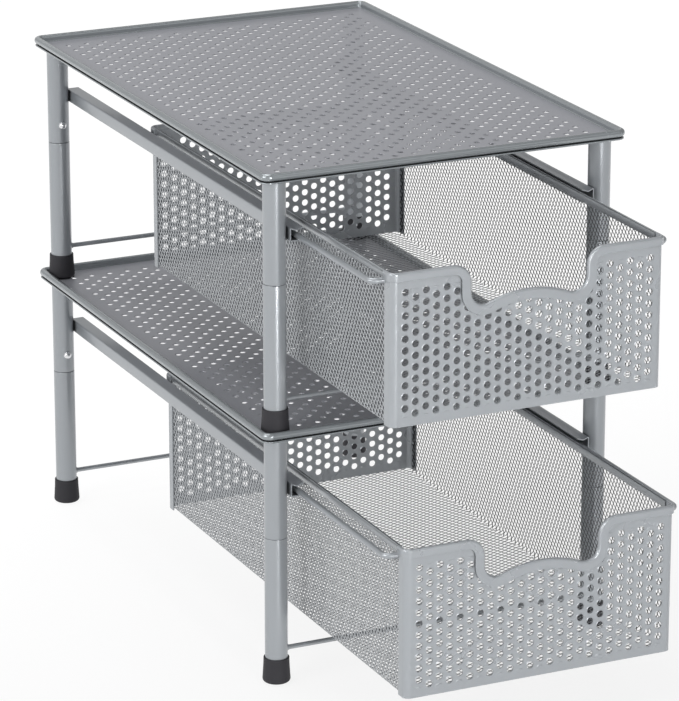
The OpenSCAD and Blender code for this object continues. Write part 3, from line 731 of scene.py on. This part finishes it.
class ORGANIZER_OT_screws(OrganizerOperator, bpy.types.Operator):
    """Make the domed screws at the joints of the tubes"""

    bl_idname = "organizer.screws"
    bl_label = "Leg Screws"

    def execute(self, context):
        s = Sizes()
        r, h = s.screw_head_r, s.screw_head_h
        shank, tip, under = 1.7, -4.5, -0.6
        # The ball that the dome is part of, and the angle to the dome's rim. A tiny cap closes the top
        dome = (r * r + h * h) / (2 * h)
        reach = math.degrees(math.asin(r / dome))
        profile = np.concatenate([
            [(shank, tip), (shank, under), (r * 0.98, under), (r, -0.1)],
            arc((0, h - dome), dome, 90 - reach, 89.2, 12),
        ])
        lying = revolved(profile, 32, (0, 0, 0))
        for unit in UNITS:
            shell = Shell()
            for _, x, y, sy in leg_places(s):
                # The screw's axis is turned to point away from its tube towards the other legs
                grid = placed(lying[..., 0], -sy * lying[..., 2], lying[..., 1])
                face = y - sy * s.tube_r + frame_shift()
                shell.add(grid + np.array([x, face, unit_lift(unit, s) + s.screw_z]))
            shell.piece(unit, "domed_screws", "Screw Plating", "frame", "leg_screws")
        return {"FINISHED"}


class ORGANIZER_OT_crossbars(OrganizerOperator, bpy.types.Operator):
    """Run the thin rods between the legs, with a small weld at each end"""

    bl_idname = "organizer.crossbars"
    bl_label = "Crossbars"

    def execute(self, context):
        s = Sizes()
        # The ends sink into the tubes, and the weld swells the rod at these distances from the tube
        sunk = 0.4
        x = s.tray_w / 2 - s.leg_inset - s.tube_r + sunk
        y = s.tray_d / 2 - s.leg_inset
        weld, swell = np.array([0.3, 0.9, 1.8]), np.array([1.5, 1.4, 1.15, 1.0])
        reach = np.concatenate([[-x], -x + sunk + weld, x - sunk - weld[::-1], [x]])
        ring = round_section(s.crossbar_r, 20)[None] * np.concatenate([swell, swell[::-1]])[:, None, None]
        for unit in UNITS:
            for end, sy in ENDS:
                z = unit_lift(unit, s) + s.crossbar_z
                shell = Shell().add(swept(placed(reach, sy * y + frame_shift(), z), (0, 1, 0), UP, ring))
                shell.piece(unit, f"{end}_rod", "Tube Paint", "frame", f"{end}_crossbar", 50)
        return {"FINISHED"}


class ORGANIZER_OT_channels(OrganizerOperator, bpy.types.Operator):
    """Fold the side channels, with the lip pressed down at the mouth and the stop at the rear"""

    bl_idname = "organizer.channels"
    bl_label = "Side Channels"

    def section(self, s, drop):
        """The C-shaped outline: inwards from the web, and up, with the upper flange's middle pressed down."""
        h, t, r = s.channel_h, s.channel_t, s.channel_fold_r
        flange = h * np.array([0.3, 0.5, 0.7, 1.0])
        line = np.concatenate([
            [(h, 0.0)], arc((r, r), r, 270, 180, 5), arc((r, h - r), r, 180, 90, 5),
            [(x, h) for x in flange], [(x, h - t) for x in flange[::-1]],
            arc((r, h - r), r - t, 90, 180, 3), arc((r, r), r - t, 180, 270, 3), [(h, t)],
        ])
        press = np.clip(1 - np.abs(line[:, 0] - h / 2) / (h / 2 - t), 0, 1) * (line[:, 1] > h / 2)
        line[:, 1] -= drop * press
        return line

    def execute(self, context):
        s = Sizes()
        t, h, lip, margin = s.channel_t, s.channel_h, s.lip_len, 0.2
        x = s.tray_w / 2 - s.leg_inset - s.tube_r
        leg = s.tray_d / 2 - s.leg_inset
        y0, y1 = -leg - s.channel_front, leg + s.channel_back
        # The lip is fully pressed down over half its length, and runs out past its end
        along = np.array([y0, y0 + lip * 0.55, y0 + lip, y0 + lip * 1.5, y1])
        profile = np.stack([self.section(s, s.lip_drop * share) for share in (1.0, 1.0, 0.5, 0.0, 0.0)])
        # The stop is a plate just inside the rear end
        stop = np.array([(margin, margin), (h, margin), (h, h - margin), (margin, h - margin)])
        for unit in UNITS:
            z = unit_lift(unit, s) + s.channel_z
            for side, sx in SIDES:
                shell = Shell()
                for ys, section in ((along, profile), (np.array([y1 - t, y1 - 0.02]), stop)):
                    shell.add(swept(placed(sx * x, ys + frame_shift(), z), (-sx, 0, 0), UP, section))
                shell.piece(unit, f"{side}_slide", "Tube Paint", "frame", f"{side}_channel", 35)
        return {"FINISHED"}


class ORGANIZER_OT_panels(OrganizerOperator, bpy.types.Operator):
    """Paint the perforated panels and fold the raised band over their upper edges"""

    bl_idname = "organizer.panels"
    bl_label = "Panels and Bands"

    def execute(self, context):
        s = Sizes()
        for unit in UNITS:
            for end, _ in ENDS:
                dress(f"{unit}_drawer_{end}", panel_paint(unit, s))
                self.band(unit, end, s)
        return {"FINISHED"}

    def edge_line(self, s, scooped):
        """The panel's upper edge from its middle to its right end, unrolled: (x, depth below the top), the
        direction into the sheet, and how much of the wider band applies. The cut-out is arcs that touch."""
        half, low_r, top_r = s.scoop_half_w, s.scoop_low_r, s.scoop_top_r
        face, ease = s.drawer_w / 2 - s.panel_corner_r, 6
        if not scooped:
            x = np.array([0.0, face])
            return np.column_stack([x, 0 * x]), np.column_stack([0 * x, 0 * x - 1]), 0 * x
        level = s.scoop_depth - low_r
        low_x = half - low_r
        lift = s.scoop_crest - level
        crest_r = (low_x**2 + lift**2 - low_r**2) / (2 * (low_r - lift))
        turn = math.degrees(math.atan2(low_x, crest_r + lift))
        crest_c = np.array([0.0, -s.scoop_crest - crest_r])
        low_c = np.array([low_x, -level])
        top_c = np.array([half + top_r, -top_r])
        crest = arc(crest_c, crest_r, 90, 90 - turn, 9)[:-1]
        low = arc(low_c, low_r, -90 - turn, 0, 15)
        top = arc(top_c, top_r, 180, 90, 13)
        # The band is back at its usual width a little past the shoulder
        rest = np.array([[half + top_r + ease, 0.0], [face, 0.0]])
        points = np.concatenate([crest, low, top, rest])
        into = np.concatenate([
            (crest_c - crest) / crest_r, (low - low_c) / low_r, (top_c - top) / top_r, [[0.0, -1.0]] * 2
        ])
        wide = np.concatenate([np.ones(len(crest) + len(low)), np.linspace(1, 0.25, len(top)), [0, 0]])
        return points, into, wide

    def section(self, s, width):
        """The band's outline at each width: a lip over a narrow gap, the raised face, and the fold over the
        panel's edge. A rule is a share of the width, a distance into the sheet and a distance out of it."""
        sheet, behind, edge = 0.35, 0.5, 0.12
        t, back = s.band_t, -s.panel_t - behind
        under, fold, lip = t - sheet, (t - back) / 2, -s.band_lip
        turn = np.linspace(0, np.pi, 9)
        rule = np.concatenate([
            [(1, lip, back), (1, lip, under), (1, -0.08, under), (1, 0.0, under + edge), (1, -edge, t)],
            [(0.66, 0, t), (0.33, 0, t)],
            np.column_stack([0 * turn, fold - fold * np.sin(turn), back + fold + fold * np.cos(turn)]),
        ])
        across = rule[None, :, 0] * width[:, None] + rule[None, :, 1]
        return np.stack([across, np.broadcast_to(rule[:, 2], across.shape)], -1)

    def band(self, unit, end, s):
        """The outline carried along the edge, round the corners and along the returns."""
        origin = drawer_origin(unit)
        r, reach = s.panel_corner_r, s.panel_corner_r + s.panel_return
        points, into, wide = self.edge_line(s, end == "front")
        face = s.drawer_w / 2 - r
        turn, turned = arc((face, r), r, 270, 360, 9)[1:], arc((0, 0), 1, 270, 360, 9)[1:]
        plan = np.concatenate([np.column_stack([points[:, 0], 0 * points[:, 0]]), turn, [[face + r, reach]]])
        out = np.concatenate([np.tile([0.0, -1.0], (len(points), 1)), turned, [[1.0, 0.0]]])
        extra = len(plan) - len(points)
        depth = np.concatenate([points[:, 1], np.zeros(extra)])
        into = np.concatenate([into, np.tile([0.0, -1.0], (extra, 1))])
        wide = np.concatenate([wide, np.zeros(extra)])
        halves = placed(*plan.T, depth), placed(into[:, 0], 0, into[:, 1]), placed(*out.T, 0)
        # The left half mirrors the right one
        path, inward, outward = (np.concatenate([half[:0:-1] * (-1.0, 1.0, 1.0), half]) for half in halves)
        wide = np.concatenate([wide[:0:-1], wide])
        width = s.band_w + (s.band_scoop_w - s.band_w) * wide
        grid = swept(path, inward, outward, self.section(s, width))
        grid[..., 2] += s.drawer_h
        if end == "back":
            grid[..., 1] = s.drawer_d - grid[..., 1]
        shell = Shell().add(grid + origin)
        shell.piece(unit, f"{end}_band", "Band Paint", "drawer", f"drawer_{end}_trim", 50)


class ORGANIZER_OT_mesh(OrganizerOperator, bpy.types.Operator):
    """Lay the expanded mesh of the drawers' sides and floors as two families of flat strands that cross"""

    bl_idname = "organizer.mesh"
    bl_label = "Expanded Mesh"

    def net(self, span, depth, families, w, t, folds, place, lean=0.0):
        """Strand n of a family lies on along * cos a + down * sin a = (n + 1/2) * step, cut where it leaves
        the field. It leans about that line and bends at the folds, which are depths. place puts (along, down,
        out) into space."""
        shell = Shell()
        # Shorter bits of strand are left out
        shortest = 0.8
        turn = math.asin(lean / w)
        turned = np.array([[math.cos(turn), math.sin(turn)], [-math.sin(turn), math.cos(turn)]])
        corner = (np.array([(-w, -t), (w, -t), (w, t), (-w, t)]) / 2) @ turned
        for angle, step in families:
            c, q = math.cos(math.radians(angle)), math.sin(math.radians(angle))
            reach = [x * c + y * q for x in (0, span) for y in (0, depth)]
            for n in range(math.floor(min(reach) / step), math.ceil(max(reach) / step)):
                level = (n + 0.5) * step
                # The depths at which the strand enters and leaves the field
                ends = sorted(np.clip([level / q, (level - span * c) / q], 0, depth))
                if ends[1] - ends[0] < shortest:
                    continue
                down = np.array([ends[0]] + [f for f in folds if ends[0] < f < ends[1]] + [ends[1]])[:, None]
                along = (level - down * q) / c
                over, out = corner.T
                shell.add(place(along + over * c, down + over * q, out + 0 * down))
        return shell

    def execute(self, context):
        s = Sizes()
        t = s.mesh_t
        x = s.drawer_w / 2 - s.panel_t - t / 2
        r = s.mesh_fold_r - t / 2
        inset, front = s.panel_corner_r, s.floor_inset
        top = s.drawer_h - s.mesh_drop
        tall = top - s.mesh_fold_r
        bend = r * math.pi / 2
        folds = tall + bend * np.array([0.0, 0.25, 0.5, 0.75])
        wide = 2 * (x - r)
        # The field, the families' angles in degrees and steps, and the strands of a side and of the floor
        side_net = (
            s.drawer_d - 2 * inset, tall + bend, ((-25.4, s.mesh_step_a), (54.9, s.mesh_step_b)),
            s.mesh_strand_w, s.mesh_strand_t,
        )
        floor_net = (
            wide, s.drawer_d - 2 * front, ((25.3, s.floor_step_a), (-62.9, s.floor_step_b)),
            s.floor_strand_w, s.floor_strand_t,
        )
        for unit in UNITS:
            origin = drawer_origin(unit)

            def flat(along, down, out):
                """Backwards along the floor."""
                return placed(along - wide / 2, front + down, t / 2 + out) + origin

            shells = []
            for side, sx in SIDES:

                def folded(along, down, out):
                    """Straight down the side, then round a quarter circle into the floor."""
                    angle = np.clip((down - tall) / r, 0, math.pi / 2)
                    px = x - r + (r + out) * np.cos(angle)
                    pz = top - np.minimum(down, tall) - (r + out) * np.sin(angle)
                    return placed(sx * px, inset + along, pz) + origin

                shells.append((side, self.net(*side_net, folds, folded, s.mesh_lean)))
            shells.append(("floor", self.net(*floor_net, (), flat)))
            for name, shell in shells:
                shell.piece(unit, f"{name}_net", "Mesh Paint", "drawer", f"drawer_{name}_mesh", 0)
        return {"FINISHED"}


class ORGANIZER_OT_strips(OrganizerOperator, bpy.types.Operator):
    """Fold the rim strips over the upper edges of the mesh"""

    bl_idname = "organizer.strips"
    bl_label = "Rim Strips"

    def execute(self, context):
        s = Sizes()
        outer = s.drawer_w / 2
        inner = outer - s.strip_w
        r, gap, edge = s.strip_bead_r, s.strip_gap, 0.25
        top, low = s.drawer_h, s.drawer_h - s.strip_h
        # The ends reach a little into the panels' returns
        reach = s.panel_corner_r + s.panel_return - 0.4
        # The outer layer with its bead, the gap, and the thin inner layer, which is a little lower
        section = np.concatenate([
            [(outer - edge, low), (outer, low + edge)],
            arc((outer - r, top - r), r, 0, 180, 12),
            [(outer - 2 * r, top - gap), (inner + r, top - gap)],
            arc((inner + r / 2, top - r / 2 - 0.2), r / 2, 0, 180, 8),
            [(inner, low + edge), (inner + edge, low)],
        ])
        for unit in UNITS:
            path = placed(0, np.array([reach, s.drawer_d - reach]), 0) + drawer_origin(unit)
            for side, sx in SIDES:
                shell = Shell().add(swept(path, (sx, 0, 0), UP, section))
                shell.piece(unit, f"{side}_strip", "Strip Paint", "drawer", f"drawer_{side}_rim", 50)
        return {"FINISHED"}


class ORGANIZER_OT_runners(OrganizerOperator, bpy.types.Operator):
    """Bend the runner wires and weld them to the drawers' sides"""

    bl_idname = "organizer.runners"
    bl_label = "Runner Wires"

    def execute(self, context):
        s = Sizes()
        wire, bend = s.runner_r, s.runner_bend_r
        side = s.drawer_w / 2
        out = side + s.runner_out
        # The rear bend stays a little inside the drawer's back
        inset = 1
        y0, y1 = s.panel_corner_r + s.panel_return + wire, s.drawer_d - inset - wire
        # The wire's ends sink into the drawer's side, and the weld swells them
        sunk, weld, swollen = 0.6, 0.5, 1.25
        plan = np.concatenate([
            [(side - sunk, y0), (side + weld, y0)],
            arc((out - bend, y0 + bend), bend, 270, 360, 12),
            arc((out - bend, y1 - bend), bend, 0, 90, 12),
            [(side + weld, y1), (side - sunk, y1)],
        ])
        normal = np.concatenate([
            [(0.0, -1.0)] * 2, arc((0, 0), 1, 270, 360, 12), arc((0, 0), 1, 0, 90, 12), [(0.0, 1.0)] * 2
        ])
        swell = np.ones(len(plan))
        swell[[0, -1]] = swollen
        ring = round_section(wire, 20)[None] * swell[:, None, None]
        for unit in UNITS:
            low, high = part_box(f"{unit}_right_runner")
            level = (low[2] + high[2]) / 2 / MM
            face = drawer_origin(unit)[1]
            for name, sx in SIDES:
                path = placed(sx * plan[:, 0], plan[:, 1] + face, level)
                across = placed(sx * normal[:, 0], normal[:, 1], 0)
                shell = Shell().add(swept(path, across, UP, ring))
                shell.piece(unit, f"{name}_wire", "Tube Paint", "drawer", f"{name}_runner", 50)
        return {"FINISHED"}


OPERATORS = (
    ORGANIZER_OT_stage,
    ORGANIZER_OT_trays,
    ORGANIZER_OT_tubes,
    ORGANIZER_OT_feet,
    ORGANIZER_OT_screws,
    ORGANIZER_OT_crossbars,
    ORGANIZER_OT_channels,
    ORGANIZER_OT_panels,
    ORGANIZER_OT_mesh,
    ORGANIZER_OT_strips,
    ORGANIZER_OT_runners,
)


class ORGANIZER_PT_panel(bpy.types.Panel):
    """Lists the pieces of the organizer, with its sizes and colours"""

    bl_idname = "ORGANIZER_PT_panel"
    bl_label = "Drawer Organizer"
    bl_space_type = "VIEW_3D"
    bl_region_type = "UI"
    bl_category = "Organizer"

    def draw(self, context):
        for operator in OPERATORS:
            self.layout.operator(operator.bl_idname)
        for group in (context.scene.organizer_sizes, context.scene.organizer_colours):
            box = self.layout.box()
            for key in type(group).__annotations__:
                box.prop(group, key)


CLASSES = (OrganizerSizes, OrganizerColours) + OPERATORS + (ORGANIZER_PT_panel,)


def register():
    for cls in CLASSES:
        bpy.utils.register_class(cls)
    bpy.types.Scene.organizer_sizes = bpy.props.PointerProperty(type=OrganizerSizes)
    bpy.types.Scene.organizer_colours = bpy.props.PointerProperty(type=OrganizerColours)


def unregister():
    del bpy.types.Scene.organizer_colours
    del bpy.types.Scene.organizer_sizes
    for cls in reversed(CLASSES):
        bpy.utils.unregister_class(cls)


def main():
    register()
    for operator in OPERATORS:
        _, name = operator.bl_idname.split(".")
        if getattr(bpy.ops.organizer, name)() != {"FINISHED"}:
            raise RuntimeError(f"{operator.bl_label} did not finish")


if __name__ == "__main__":
    main()
